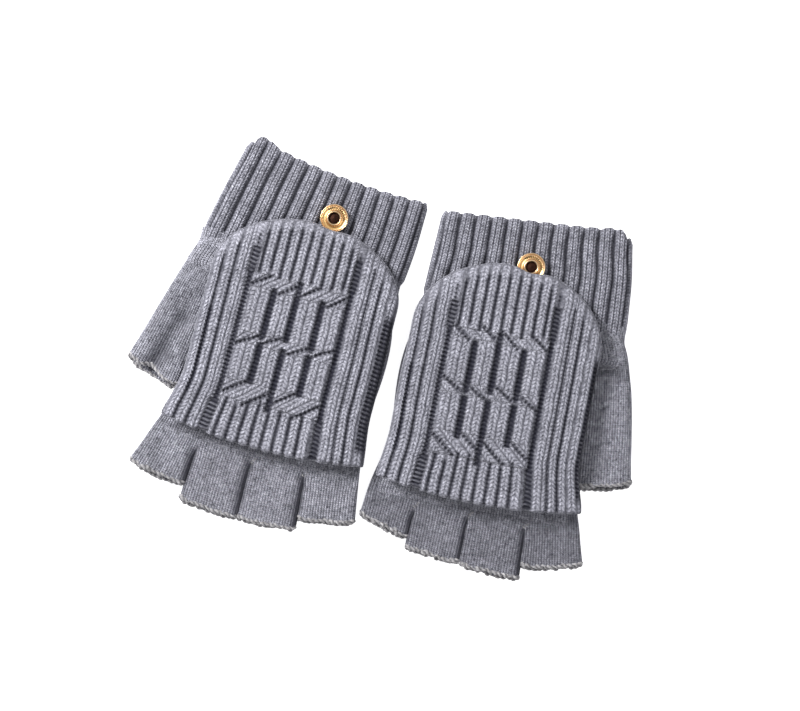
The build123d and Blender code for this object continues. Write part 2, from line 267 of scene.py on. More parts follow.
def tube(outer, thick, wales, course):
    """A closed knitted tube from its outer rows: rolled over both open ends, with a wall inside.
    Returns its grid, faces and uv corners."""
    rows, count, _ = outer.shape
    keep = np.unique(np.r_[np.arange(0, rows, 3), rows - 1])
    inner = (outer - outward(outer) * thick)[keep][::-1]
    far = end_roll(outer[-1], inner[0], outer[-2], thick)
    near = end_roll(outer[0], inner[-1], outer[1], thick)[::-1]
    grid = np.concatenate([outer, far, inner, near])
    faces, corners = grid_faces(len(grid), count, True, True)
    u = np.linspace(0, wales, count + 1)
    step = np.linalg.norm(np.roll(grid, -1, axis=0) - grid, axis=2).mean(axis=1)
    v = np.r_[0, np.cumsum(step)] / course
    uv = np.stack(np.broadcast_arrays(u[None, :], v[:, None]), -1).reshape(-1, 2)
    return grid, faces, uv[corners]


def tube_piece(mitten, name, outer, material, thick, wales, course=COURSE, dark=None, **rest):
    grid, faces, uv = tube(outer, thick, wales, course)
    shades = np.zeros(grid.shape[:2])
    if dark is not None:
        shades[: len(dark)] = dark
    return make_piece(
        mitten, name, grid.reshape(-1, 3), faces, material, uv=list(uv), shades={"dark": shades}, **rest
    )


def wale_count(row, pitch=WALE):
    return int(np.linalg.norm(np.roll(row, -1, axis=0) - row, axis=1).sum() / pitch)


def raise_wales(outer, wales, height=0.16):
    """Stands each column of stitches proud of the lines between them."""
    phase = np.arange(outer.shape[1]) / outer.shape[1] * wales
    lift = height * (np.abs(np.sin(math.pi * phase)) * 2 - 1)
    return outer + outward(outer) * lift[None, :, None]


PER_WALE = 4  # grid columns to each column of stitches


def shares(length, step):
    return np.linspace(0, 1, max(int(length / step), 4) + 1)


# ---------------------------------------------------------------- cords


def cord(path, radius, closed=False, pitch=2.4, wobble=0.0, seed=5, deep=0.38):
    """A two-ply twisted cord along a path of points, as (verts, faces, shades)."""
    path = np.asarray(path, float)
    if closed:
        path = np.vstack([path, path[:1]])
    run = np.r_[0, np.cumsum(np.linalg.norm(np.diff(path, axis=0), axis=1))]
    count = max(8, int(run[-1] / (radius * 0.55)))
    at = np.linspace(0, run[-1], count, endpoint=not closed)
    line = np.stack([np.interp(at, run, path[:, k]) for k in range(3)], 1)
    if closed:
        ahead = np.roll(line, -1, axis=0) - np.roll(line, 1, axis=0)
    else:
        ahead = np.gradient(line, axis=0)
    ahead /= np.maximum(np.linalg.norm(ahead, axis=1, keepdims=True), 1e-9)
    aside = np.cross(ahead, [0.15, 0.1, 1.0])
    aside /= np.linalg.norm(aside, axis=1, keepdims=True)
    over = np.cross(ahead, aside)
    sides = 10
    theta = np.arange(sides) * math.tau / sides
    turns = round(run[-1] / pitch) if closed else run[-1] / pitch
    twist = at / run[-1] * math.pi * turns
    lobes = np.abs(np.cos(theta[None, :] - twist[:, None]))
    size = radius * (1 - deep + deep * lobes) * (1 + wobble * ripple(at, at * 0, pitch * 2.0, seed)[:, None])
    spread = np.cos(theta)[None, :, None] * aside[:, None] + np.sin(theta)[None, :, None] * over[:, None]
    grid = line[:, None] + size[..., None] * spread
    faces = grid_faces(count, sides, True, closed)[0].tolist()
    verts = grid.reshape(-1, 3)
    pit = (1 - lobes).ravel()
    if not closed:
        tail, end = (count - 1) * sides, count * sides
        verts = np.vstack([verts, line[:1] - ahead[:1] * radius / 2, line[-1:] + ahead[-1:] * radius / 2])
        pit = np.r_[pit, 0, 0]
        for k in range(sides):
            n = (k + 1) % sides
            faces.append([n, k, end])
            faces.append([tail + k, tail + n, end + 1])
    return verts, faces, {"pit": pit}


def cord_piece(mitten, name, cords, material, **rest):
    verts, faces, shades = join(cords)
    return make_piece(mitten, name, verts, faces, material, shades=shades, **rest)


# ---------------------------------------------------------------- materials


class Shader:
    """A small helper round one node material."""

    def __init__(self, name):
        self.material = bpy.data.materials.new(name)
        self.material.use_nodes = True
        self.tree = self.material.node_tree
        self.surface = self.tree.nodes["Principled BSDF"]

    def node(self, kind, **settings):
        made = self.tree.nodes.new(kind)
        for key, value in settings.items():
            setattr(made, key, value)
        return made

    def put(self, socket, value):
        if isinstance(value, bpy.types.NodeSocket):
            self.tree.links.new(value, socket)
        else:
            socket.default_value = value

    def math(self, operation, a, b=0.0, clamp=False):
        made = self.node("ShaderNodeMath", operation=operation, use_clamp=clamp)
        self.put(made.inputs[0], a)
        self.put(made.inputs[1], b)
        return made.outputs[0]

    def mix(self, share, a, b, blend="MIX"):
        made = self.node("ShaderNodeMix", data_type="RGBA", blend_type=blend)
        self.put(made.inputs["Factor"], share)
        self.put(made.inputs[6], a)
        self.put(made.inputs[7], b)
        return made.outputs[2]

    def attribute(self, name):
        return self.node("ShaderNodeAttribute", attribute_name=name).outputs["Fac"]

    def noise(self, scale, detail=2.0, rough=0.6, vector=None):
        made = self.node("ShaderNodeTexNoise")
        made.inputs["Scale"].default_value = scale
        made.inputs["Detail"].default_value = detail
        made.inputs["Roughness"].default_value = rough
        where = vector or self.node("ShaderNodeTexCoord").outputs["Object"]
        self.put(made.inputs["Vector"], where)
        return made.outputs["Fac"]

    def ramp(self, value, low, high):
        """0 below low to 1 above high."""
        made = self.node("ShaderNodeMapRange", interpolation_type="SMOOTHSTEP")
        self.put(made.inputs["Value"], value)
        made.inputs["From Min"].default_value = low
        made.inputs["From Max"].default_value = high
        return made.outputs["Result"]

    def bump(self, height, distance, strength=1.0, under=None):
        made = self.node("ShaderNodeBump")
        made.inputs["Distance"].default_value = distance * MM
        made.inputs["Strength"].default_value = strength
        self.put(made.inputs["Height"], height)
        if under is not None:
            self.put(made.inputs["Normal"], under)
        return made.outputs["Normal"]


def stitches(sh):
    """Height from 0 to 1 of plain knit stitches: each column is a row of Vs."""
    uv = sh.node("ShaderNodeUVMap", uv_map="knit").outputs["UV"]
    parts = sh.node("ShaderNodeSeparateXYZ")
    sh.put(parts.inputs[0], uv)
    wale = sh.math("FRACT", parts.outputs["X"])
    leg = sh.math("ABSOLUTE", sh.math("SUBTRACT", sh.math("MULTIPLY", wale, 2.0), 1.0))
    across = sh.math("DIVIDE", sh.math("ABSOLUTE", sh.math("SUBTRACT", leg, 0.42)), 0.58)
    across = sh.math("SUBTRACT", 1.0, sh.math("POWER", across, 2.2))
    phase = sh.math("FRACT", sh.math("ADD", parts.outputs["Y"], sh.math("MULTIPLY", leg, 0.75)))
    along = sh.math("ABSOLUTE", sh.math("SUBTRACT", sh.math("MULTIPLY", phase, 2.0), 1.0))
    along = sh.math("SUBTRACT", 1.0, sh.math("POWER", along, 3.0))
    return sh.math("MULTIPLY", across, sh.math("ADD", sh.math("MULTIPLY", along, 0.7), 0.3))


def heather(sh, light, middle, dark, mottle):
    """Mixed fibres: flecks of a light and a dark yarn in a middle one, uneven from place to place."""
    colour = sh.mix(sh.ramp(sh.noise(950.0, 3.0, 0.7), 0.44, 0.70), middle, light)
    colour = sh.mix(sh.ramp(sh.noise(760.0, 3.0, 0.7), 0.48, 0.72), colour, dark)
    patch = sh.math("MULTIPLY", sh.math("SUBTRACT", sh.noise(330.0, 3.0), 0.5), mottle)
    cloud = sh.math("MULTIPLY", sh.math("SUBTRACT", sh.noise(60.0, 3.0), 0.5), 0.7 * mottle)
    uneven = sh.math("ADD", 1.05, sh.math("ADD", patch, cloud))
    return sh.mix(1.0, colour, grey(sh, uneven), "MULTIPLY")


def grey(sh, value):
    made = sh.node("ShaderNodeCombineColor")
    for socket in made.inputs:
        sh.put(socket, value)
    return made.outputs[0]


LIGHT_YARN = (0.52, 0.52, 0.585, 1)
MIDDLE_YARN = (0.280, 0.278, 0.322, 1)
DARK_YARN = (0.095, 0.095, 0.118, 1)
FINE_LIGHT = (0.66, 0.66, 0.74, 1)
FINE_MIDDLE = (0.370, 0.368, 0.420, 1)
FINE_DARK = (0.100, 0.100, 0.122, 1)
# NAVY is the dark plating yarn of the cover's gutters; NAVY and DUSK are also the colours that painted shade goes
# towards
NAVY = (0.009, 0.009, 0.017, 1)
DUSK = (0.030, 0.030, 0.040, 1)


def yarn(name, shade_to, knit_pits=0.0, cord_pits=0.0, relief=0.3, light=LIGHT_YARN, middle=MIDDLE_YARN,
         dark=DARK_YARN, pit_to=DUSK, mottle=1.0):
    """Heathered wool. The vertex value dark goes towards shade_to; it holds painted shade, and on the cable cover
    also the dark plating yarn in its gutters.
    knit_pits is how much painted shade darkens the creases between stitches towards pit_to, and cord_pits does the
    same for the vertex value pit, between a cord's plies."""
    sh = Shader(name)
    colour = heather(sh, light, middle, dark, mottle)
    normal = sh.bump(sh.noise(5200.0, 2.0, 0.8), 0.10, 0.6)
    if knit_pits:
        height = stitches(sh)
        # Painted shade in the creases between stitches
        pit = sh.math("MULTIPLY", sh.math("SUBTRACT", 1.0, height), knit_pits)
        colour = sh.mix(pit, colour, pit_to)
        normal = sh.bump(height, relief, 0.9, normal)
    if cord_pits:
        # Painted shade between a cord's plies
        colour = sh.mix(sh.math("MULTIPLY", sh.attribute("pit"), cord_pits), colour, DUSK)
    # The vertex value dark: painted shade, and on the cable cover also its dark plating yarn
    colour = sh.mix(sh.attribute("dark"), colour, shade_to)
    sh.put(sh.surface.inputs["Base Color"], colour)
    sh.put(sh.surface.inputs["Normal"], normal)
    sh.surface.inputs["Roughness"].default_value = 0.92
    sh.surface.inputs["Specular IOR Level"].default_value = 0.12
    sh.surface.inputs["Sheen Weight"].default_value = 0.12
    sh.surface.inputs["Sheen Roughness"].default_value = 0.6
    sh.surface.inputs["Sheen Tint"].default_value = (0.8, 0.8, 0.9, 1)
    return sh.material


def metal(name, bright, worn, rough):
    """Plated metal with faint scratches and duller patches."""
    sh = Shader(name)
    patches = sh.noise(420.0, 5.0, 0.6)
    scratches = sh.node("ShaderNodeTexNoise")
    scratches.inputs["Scale"].default_value = 900.0
    stretch = sh.node("ShaderNodeMapping")
    stretch.inputs["Scale"].default_value = (1.0, 9.0, 1.0)
    sh.put(stretch.inputs[0], sh.node("ShaderNodeTexCoord").outputs["Object"])
    sh.put(scratches.inputs["Vector"], stretch.outputs[0])
    sh.put(sh.surface.inputs["Base Color"], sh.mix(sh.ramp(patches, 0.45, 0.75), bright, worn))
    sh.put(
        sh.surface.inputs["Roughness"],
        sh.math("ADD", sh.math("MULTIPLY", sh.math("ADD", patches, scratches.outputs["Fac"]), 0.16), rough),
    )
    sh.put(sh.surface.inputs["Normal"], sh.bump(scratches.outputs["Fac"], 0.02, 0.5))
    sh.surface.inputs["Metallic"].default_value = 1.0
    return sh.material


PLAIN = yarn(
    "fine_plain_knit", DUSK, knit_pits=1.0, relief=0.5, light=FINE_LIGHT, middle=FINE_MIDDLE, dark=FINE_DARK,
    pit_to=NAVY, mottle=1.5,
)
RIB = yarn("cuff_rib_knit", DUSK, knit_pits=1.0, relief=0.5, light=(0.54, 0.54, 0.605, 1), pit_to=NAVY, mottle=1.5)
CABLE = yarn("cable_knit", NAVY, knit_pits=0.72, relief=0.45)
PANEL = yarn("cover_back_knit", NAVY, knit_pits=0.8, relief=0.5)
BIND_OFF = yarn(
    "bind_off_yarn", DUSK, cord_pits=0.85,
    light=(0.54, 0.53, 0.53, 1), middle=(0.32, 0.31, 0.32, 1), dark=(0.13, 0.12, 0.115, 1),
)
SEWING = yarn("sewing_yarn", NAVY, cord_pits=0.7)
ELASTIC = yarn(
    "elastic_cord", NAVY, cord_pits=0.6,
    light=(0.10, 0.10, 0.13, 1), middle=(0.05, 0.05, 0.07, 1), dark=(0.02, 0.02, 0.03, 1),
)
GOLD = metal("gold_brass", (0.92, 0.66, 0.40, 1), (0.66, 0.43, 0.22, 1), 0.16)
DULL = metal("dull_brass", (0.62, 0.40, 0.17, 1), (0.48, 0.30, 0.13, 1), 0.34)
AGED = metal("aged_brass", (0.045, 0.020, 0.014, 1), (0.02, 0.010, 0.008, 1), 0.4)


# ---------------------------------------------------------------- cuff, hand, stubs and thumb


CUFF_BOW = {"left": 3.2, "right": 0.1}  # how far the middle of the cuff's end dips
CUFF_HUMP = {"left": 2.2, "right": 0.8}  # and how far it stands up near the thumb's side


def make_cuff(m):
    """2 by 2 rib: 13 ribs on each face, with a rolled, scalloped top edge."""
    ribs, columns_per_rib, wales_per_rib = 26, 18, 3
    wrist, end = m.edges_at("cuff", WRIST_Y), m.end_corners("cuff", 1)
    start_y = WRIST_Y - 1.5
    length = (end[0][1] + end[1][1]) / 2 - start_y
    t = shares(length, 0.6)
    sides = []
    for x, corner, out in ((wrist[0], end[0], 0.0), (wrist[1], end[1], 1.9)):
        middle = ((x + corner[0]) / 2 + out, (start_y + corner[1]) / 2)
        sides.append([(x + out * 0.5, start_y), middle, (corner[0] + out * 0.6, corner[1])])
    outer = lane(*sides, t, 0.6, HAND_TOP - 0.3, 2.2, ribs * columns_per_rib)
    across = (outer[..., 0] - end[0][0]) / (end[1][0] - end[0][0])
    from_thumb = across if m.thumb < 0 else 1 - across
    bow = CUFF_BOW[m.side] * 4 * across * (1 - across) + 3.2 * (1 - smooth(0.0, 0.05, from_thumb))
    bow -= CUFF_HUMP[m.side] * np.exp(-(((from_thumb - 0.09) / 0.05) ** 2))
    outer[..., 1] -= bow * smooth(0.5, 1.0, t)[:, None]
    around = np.arange(outer.shape[1]) / columns_per_rib
    sway = 0.05 * ripple(t[:, None] * length, around[None, :] * 3.0, 26, m.seed + 31)
    phase = (around[None, :] + sway) % 1
    rib = dome((0.42 - np.abs(phase - 0.5)) / 0.30)
    begin = smooth(2.0, 9.0, t * length)[:, None]
    finish = 1 - 0.5 * smooth(0.95, 1, t)[:, None]
    legs = 0.16 * np.abs(np.sin(math.pi * phase * wales_per_rib))
    tuck = -0.8 * (1 - smooth(0.0, 3.5, t * length))[:, None]
    grid = outer + outward(outer) * ((1.6 * rib + legs * rib) * begin * finish - 0.75 + tuck)[..., None]
    grid[..., 1] += 0.9 * (rib - 0.5) * smooth(0.9, 1, t)[:, None]
    high = grid[..., 2] > HAND_TOP / 2
    grid[..., 2] += 0.45 * ripple(grid[..., 0], grid[..., 1], 30, m.seed) * high * (begin * finish)
    # Painted shade in the gutters between the ribs, fainter where the ribs begin and at the top edge
    gutter = 0.8 * (1 - rib) ** 1.3 * (0.15 + 0.85 * begin) * (1 - 0.6 * smooth(0.93, 1, t)[:, None])
    tube_piece(
        m, "cuff_knit", grid, RIB, RIB_THICK, ribs * wales_per_rib, course=1.5, dark=gutter, replaces=("cuff",),
        slot="rib_knit"
    )


def dent(grid, start, end, depth, reach):
    """Pushes a tube's top down along a plan line, as a soft fold. Returns the share of the push."""
    a, b = np.array(start), np.array(end)
    p = grid[..., :2] - a
    s = np.clip(p @ (b - a) / ((b - a) @ (b - a)), 0, 1)
    away = np.linalg.norm(p - s[..., None] * (b - a), axis=-1)
    share = np.exp(-((away / reach) ** 2)) * (grid[..., 2] > HAND_TOP / 2)
    grid[..., 2] -= depth * share
    return share


# How much narrower each side of the hand is along y, so that the pouch comes over its finger end
SLIM = ((WEB_Y, CROTCH_Y, PALM_LIFT[0], PALM_LIFT[1]), (1.3, 1.8, 2.2, 0.0))


def make_hand(m):
    """The palm tube, from over the roots of the stubs up into the cuff."""
    wrist, root = np.add(m.edges_at("hand", WRIST_Y), (0, 1.3)), m.edges_at("hand", THUMB_Y)
    palm, knuckle = m.edges_at("hand", PALM_LIFT[1]), m.edges_at("hand", PALM_LIFT[0])
    crotch = m.edges_at("hand", CROTCH_Y)
    stations = [(WEB_Y, crotch), (CROTCH_Y, crotch), (PALM_LIFT[0], knuckle)]
    stations += [(PALM_LIFT[1], palm), (THUMB_Y - 6, palm)]
    if m.thumb > 0:
        inner_root = (root[0], palm[1] + 3)
    else:
        inner_root = (palm[0] - 3, root[1])
    beside_thumb = np.add(root, (1.5 * (m.thumb < 0), -1.5 * (m.thumb > 0)))
    stations += [(THUMB_Y, inner_root), (THUMB_Y + 5, beside_thumb), (WRIST_Y, wrist), (WRIST_Y + 6, wrist)]
    slim = np.interp([y for y, _ in stations], *SLIM)
    left = [(x[0] + inside, y) for (y, x), inside in zip(stations, slim)]
    right = [(x[1] - inside, y) for (y, x), inside in zip(stations, slim)]
    t = shares(WRIST_Y + 6 - WEB_Y, 1.0)
    y = WEB_Y + t * (WRIST_Y + 6 - WEB_Y)
    web = 1.1 * (1 - smooth(WEB_Y, WEB_Y + 3.5, y))
    low = (FINGER_LOW + 1.5) * (1 - smooth(*PALM_LIFT, y)) + 0.6 * smooth(WRIST_Y - 8, WRIST_Y, y) + web
    high = HAND_TOP - web - 0.1 - 1.0 * smooth(WRIST_Y - 4, WRIST_Y + 2, y)
    probe = lane(left, right, t[::20], low[::20], high[::20], 2.0, 400)
    wales = wale_count(probe[len(probe) // 2])
    outer = lane(left, right, t, low, high, 2.0, wales * PER_WALE)
    outer = raise_wales(outer, wales)
    soft = 0.3 * ripple(outer[..., 0], outer[..., 1], 30, m.seed + 1) * (outer[..., 2] > HAND_TOP / 2)
    outer[..., 2] += soft * smooth(0, 0.1, t)[:, None] * (1 - smooth(0.8, 1, t))[:, None]
    tube_piece(m, "hand_knit", outer, PLAIN, FINE_THICK, wales, replaces=("hand",), slot="plain_knit")


def open_end(outer, under_reach, t, out, rounded=1.6):
    """Carries a tube's underside a little further than its top at the open end, and rounds the end's corners."""
    low = 1 - smooth(0.2, 0.8, (outer[..., 2] - outer[..., 2].min()) / np.ptp(outer[..., 2]))
    across = outer[..., :2] @ [out[1], -out[0]]
    middle, half = (across.max(1) + across.min(1)) / 2, np.ptp(across, axis=1) / 2
    corner = np.abs((across - middle[:, None]) / half[:, None]) ** 6
    reach = (under_reach * low - rounded * corner) * smooth(0.75, 1.0, t)[:, None]
    outer[..., :2] += out * reach[..., None]


def bind_off(outer, radius, seed):
    """The cast-off chain round an open end: a thick twisted cord, a little uneven."""
    edge, before = outer[-1], outer[-3]
    ahead = (edge - before) / np.linalg.norm(edge - before, axis=1, keepdims=True)
    uneven = 0.28 * ripple(edge[:, 0], edge[:, 2], 3.2, seed)[:, None]
    line = edge - outward(outer)[-1] * FINE_THICK * 0.4 + ahead * (0.5 + uneven)
    return cord(line, radius, closed=True, pitch=3.1, wobble=0.24, seed=seed, deep=0.42)


def finger_lanes(m):
    """Each stub's plan curves, from the split to its open end."""
    hand = m.edges_at("hand", CROTCH_Y)
    knuckle = m.edges_at("hand", PALM_LIFT[0])
    share = (SPLIT_Y - CROTCH_Y) / (PALM_LIFT[0] - CROTCH_Y)
    start = [hand[k] + (knuckle[k] - hand[k]) * share for k in (0, 1)]
    bases = {finger: m.edges_at(f"{finger}_stub", CROTCH_Y) for finger in FINGERS}
    order = sorted(FINGERS, key=lambda finger: bases[finger][0])
    walls = [bases[order[0]][0]]
    walls += [(bases[a][1] + bases[b][0]) / 2 for a, b in zip(order, order[1:])]
    walls.append(bases[order[-1]][1])
    lap, outer_lap = 0.7, {"index": 2.2, "little": 1.3}
    tips = [m.end_corners(f"{finger}_stub") for finger in order]
    gaps = [b[0][0] - a[1][0] for a, b in zip(tips, tips[1:])]
    lanes = {}
    for k, (finger, tip) in enumerate(zip(order, tips)):
        sides = []
        for wall, corner, out, border in ((k, tip[0], -1, 0), (k + 1, tip[1], 1, len(order))):
            x = walls[wall]
            x_start = start[0] + (x - hand[0]) / (hand[1] - hand[0]) * (start[1] - start[0])
            x_mid = x + (corner[0] - x) * 0.12
            if wall == border:
                reach = (-0.5, outer_lap[finger] * 0.9, outer_lap[finger])
            else:
                reach = (lap, lap, gaps[wall - 1] / 2 + 0.35)
            sides.append([
                (x_start + out * reach[0], SPLIT_Y),
                (x_mid + out * reach[1], CROTCH_Y),
                (corner[0] + out * reach[2], corner[1]),
            ])
        lanes[finger] = sides
    return lanes


STUB_PAINTED_SHADE = {"left": 0.0, "right": 0.36}  # painted shade laid over all of each mitten's stubs


def make_fingers(m):
    edges = []
    lanes = finger_lanes(m)
    make_crotch_threads(m, lanes)
    for number, (finger, (left, right)) in enumerate(lanes.items()):
        tip = (np.array(left[-1]) + np.array(right[-1])) / 2
        length = SPLIT_Y - tip[1]
        t = shares(length, 0.8)
        y = SPLIT_Y - t * length
        corner = 2.0 + 7.3 * smooth(WEB_Y - 6, WEB_Y + 1, y)
        high = HAND_TOP - 0.45 + 0.15 * smooth(0.25, 0.7, t) - 0.4 * smooth(0.7, 1.0, t)
        low = FINGER_LOW + 1.1 + 0.3 * smooth(0.6, 1.0, t)
        probe = lane(left, right, t[-2:], low[-2:], high[-2:], 2.4, 400)
        wales = wale_count(probe[-1])
        outer = lane(left, right, t, low, high, corner, wales * PER_WALE)
        outer = raise_wales(outer, wales)
        out = (tip - np.array([(left[1][0] + right[1][0]) / 2, CROTCH_Y]))
        open_end(outer, 1.3, t, out / np.linalg.norm(out))
        top = outer[..., 2] > (FINGER_LOW + HAND_TOP) / 2
        seed = m.seed + 20 + number
        outer[..., 2] += 0.32 * ripple(outer[..., 0], outer[..., 1], 21, seed) * top * smooth(0.2, 0.5, t)[:, None]
        outer[..., 1] += 0.35 * ripple(outer[..., 0], outer[..., 2], 16, seed + 5) * smooth(0.7, 1, t)[:, None]
        sides = [np.linalg.norm(outer[..., :2] - curve(side, t)[:, None], axis=-1) for side in (left, right)]
        # Painted shade along the valleys between stubs, fading out above the web. The outer sides of the first and
        # last stub border no valleys, so they get only a little.
        deep = (0.75 if number > 0 else 0.15, 0.95 if number < len(lanes) - 1 else 0.15)
        valley_shade = np.maximum(
            deep[0] * (1 - smooth(0.3, 2.6, sides[0])), deep[1] * (1 - smooth(0.8, 6.0, sides[1]))
        )
        # Painted shade over the whole stub, set per mitten, is the least each stub gets
        valley_shade = np.maximum(valley_shade * (1 - smooth(WEB_Y - 3, WEB_Y + 1, y))[:, None], STUB_PAINTED_SHADE[m.side])
        piece = tube_piece(
            m, f"{finger}_knit", outer, PLAIN, FINE_THICK, wales, dark=valley_shade, replaces=(f"{finger}_stub",),
            slot="plain_knit"
        )
        crumple(m, piece)
        edges.append(bind_off(outer, 1.1, seed))
    piece = cord_piece(m, "finger_bind_off", edges, BIND_OFF, replaces=("finger_edges",), slot="bind_off")
    crumple(m, piece)


def make_crotch_threads(m, lanes):
    """A small knot of yarn in each crotch between two stubs."""
    walls = [sides[1][1] for sides in list(lanes.values())[:-1]]
    cords = []
    a = np.linspace(0, math.pi, 12)
    for number, (x, y) in enumerate(walls):
        for turn in range(3):
            lean = (turn - 1) * 0.8
            wide = 1.5 - 0.2 * turn
            across, along = x + wide * np.cos(a) + lean, y - 6.5 + 1.1 * turn + lean * np.cos(a)
            arch = [across, along, HAND_TOP - 1.7 + 1.2 * np.sin(a)]
            cords.append(cord(np.stack(arch, 1), 0.36, pitch=1.3, wobble=0.15, seed=m.seed + number))
    piece = cord_piece(m, "crotch_threads", cords, BIND_OFF, slot="sewing_yarn")
    crumple(m, piece)


def crumple(m, piece, towards=0.0):
    """Gives a soft piece its own copy of its mesh. The point at local x towards is worked out but not used."""
    anchor = m.world([towards, 0.0, 0.0])
    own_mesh(piece)


WRIST_SWELL = {"left": 0.3, "right": 1.6}  # how far the thumb's tube swells beyond the wrist


def make_thumb(m):
    inner_root, outer_root = sorted(m.edges_at("thumb", THUMB_Y), key=abs)
    a, b = m.end_corners("thumb")
    inner_tip, outer_tip = sorted((a, b), key=lambda corner: abs(corner[0]))
    wrist = max(m.edges_at("hand", WRIST_Y), key=lambda x: x * m.thumb)
    start_y = WRIST_Y + 3
    hidden = inner_root - m.thumb * 10
    inner = [(hidden, start_y), (inner_root - m.thumb * 6, THUMB_Y), tuple(inner_tip)]
    tip_run = (inner_tip + outer_tip) / 2 - [(inner_root + outer_root) / 2, THUMB_Y]
    shorten = -0.9 * tip_run / np.linalg.norm(tip_run)
    outer_tip = outer_tip + shorten + [m.thumb * 1.5, 0]
    inner_tip = inner_tip + shorten - [m.thumb * 4.5, 0]
    inner[2] = tuple(inner_tip)
    below_wrist = (wrist * 0.7 + outer_root * 0.3 + m.thumb * WRIST_SWELL[m.side], WRIST_Y - 6)
    outside = [
        (wrist - m.thumb * 1.2, start_y), below_wrist, (outer_root + m.thumb * 1.0, THUMB_Y), tuple(outer_tip)
    ]
    left, right = (inner, outside) if m.thumb > 0 else (outside, inner)
    tip = (inner_tip + outer_tip) / 2
    t = shares(start_y - tip[1], 0.8)
    lift = smooth(0.0, 0.2, t)
    high = HAND_TOP - 1.0 + 1.05 * lift - 1.2 * smooth(0.55, 1, t)
    low = 1.2 - 0.9 * lift
    probe = lane(left, right, t[-2:], low[-2:], high[-2:], 2.2, 400)
    wales = wale_count(probe[-1])
    outer = lane(left, right, t, low, high, 2.2, wales * PER_WALE)
    outer = raise_wales(outer, wales)
    out = tip - np.array([(inner_root + outer_root) / 2, THUMB_Y])
    out = out / np.linalg.norm(out)
    open_end(outer, 2.2, t, out, 2.6)
    corners = np.array([[inner[1], inner[2]], [outside[2], outside[3]]])

    def place(along, across):
        root, end = corners[0] * (1 - across) + corners[1] * across
        return root + (end - root) * along

    if m.thumb < 0:
        fold = dent(outer, place(0.42, 0.42), place(1.0, 0.56), 3.4, 4.2)
        outer[..., :2] -= out * (2.2 * fold * smooth(0.8, 1.0, t)[:, None])[..., None]
        # Painted shade in the fold, darker towards the thumb's open end
        dark = fold * (0.25 + 0.4 * smooth(0.6, 0.95, t))[:, None]
    else:
        # A shallow crease, with painted shade in it
        dark = 0.35 * dent(outer, place(-0.06, 0.0), place(0.0, 0.9), 1.0, 3.2)
    outer[..., 2] += 0.3 * ripple(outer[..., 0], outer[..., 1], 20, m.seed + 3) * smooth(0.3, 0.5, t)[:, None] * (
        outer[..., 2] > HAND_TOP / 2
    )
    thumb = tube_piece(
        m, "thumb_knit", outer, PLAIN, FINE_THICK, wales, dark=dark, replaces=("thumb",), slot="plain_knit"
    )
    edge = cord_piece(
        m, "thumb_bind_off", [bind_off(outer, 1.1, m.seed)], BIND_OFF, replaces=("thumb_edge",), slot="bind_off"
    )
    for piece in (thumb, edge):
        crumple(m, piece, outer_tip[0])


# ---------------------------------------------------------------- cover

HALF_WIDE = 47.0
FLARE = 3.0
FLARE_Y = 25.0
MOUTH_BOW = -5.0
TIP_START_Y = 78.0
RISE = (60.0, 99.0)
FRONT_TOP = 21.9
TIP_DROP = 1.8
BACK_LOW = 10.2
BACK_TIP_RISE = 4.2
BACK_THICK = 1.8
FRONT_THICK = 2.8
RELIEF = 2.0
LEG = 2.2  # width of one leg of the thick yarn's stitches
ROW = 2.0  # height of one of its stitches
CHART_SHIFT = {"left": 0.0, "right": 3.3}
BUTTON_NOTCH = {"left": 1.8, "right": 2.7}  # how far the loop draws the tip back from the button
LOW_GUTTERS = [-20.9 + 5.37 * k for k in range(8)]
HIGH_GUTTERS = [-22.3 + 5.3 * k for k in range(9)]
CROSSINGS = [(13.5, 25.0), (44.0, 49.5), (72.0, 80.0)]
RIBS_LOW, RIBS_HIGH = 15.5, 79.0  # the cables stand between these, and plain ribs run outside them
MIDDLE_RIBS = [  # each rib's two edges and how many legs of stitches it holds
    (-56, -51, 2), (-50, -45.5, 2), (-44.8, -40.8, 2), (-39.8, -34.9, 2), (-34.0, -28.6, 3),
    (-24, -13.9, 4), (-11.1, -2.1, 4), (0.7, 10.9, 4), (13.7, 23, 4),
    (27, 33.4, 3), (34.2, 38.2, 2), (39.0, 42.8, 2), (43.5, 47.5, 2), (48.2, 52, 2), (52.7, 57, 2),
]


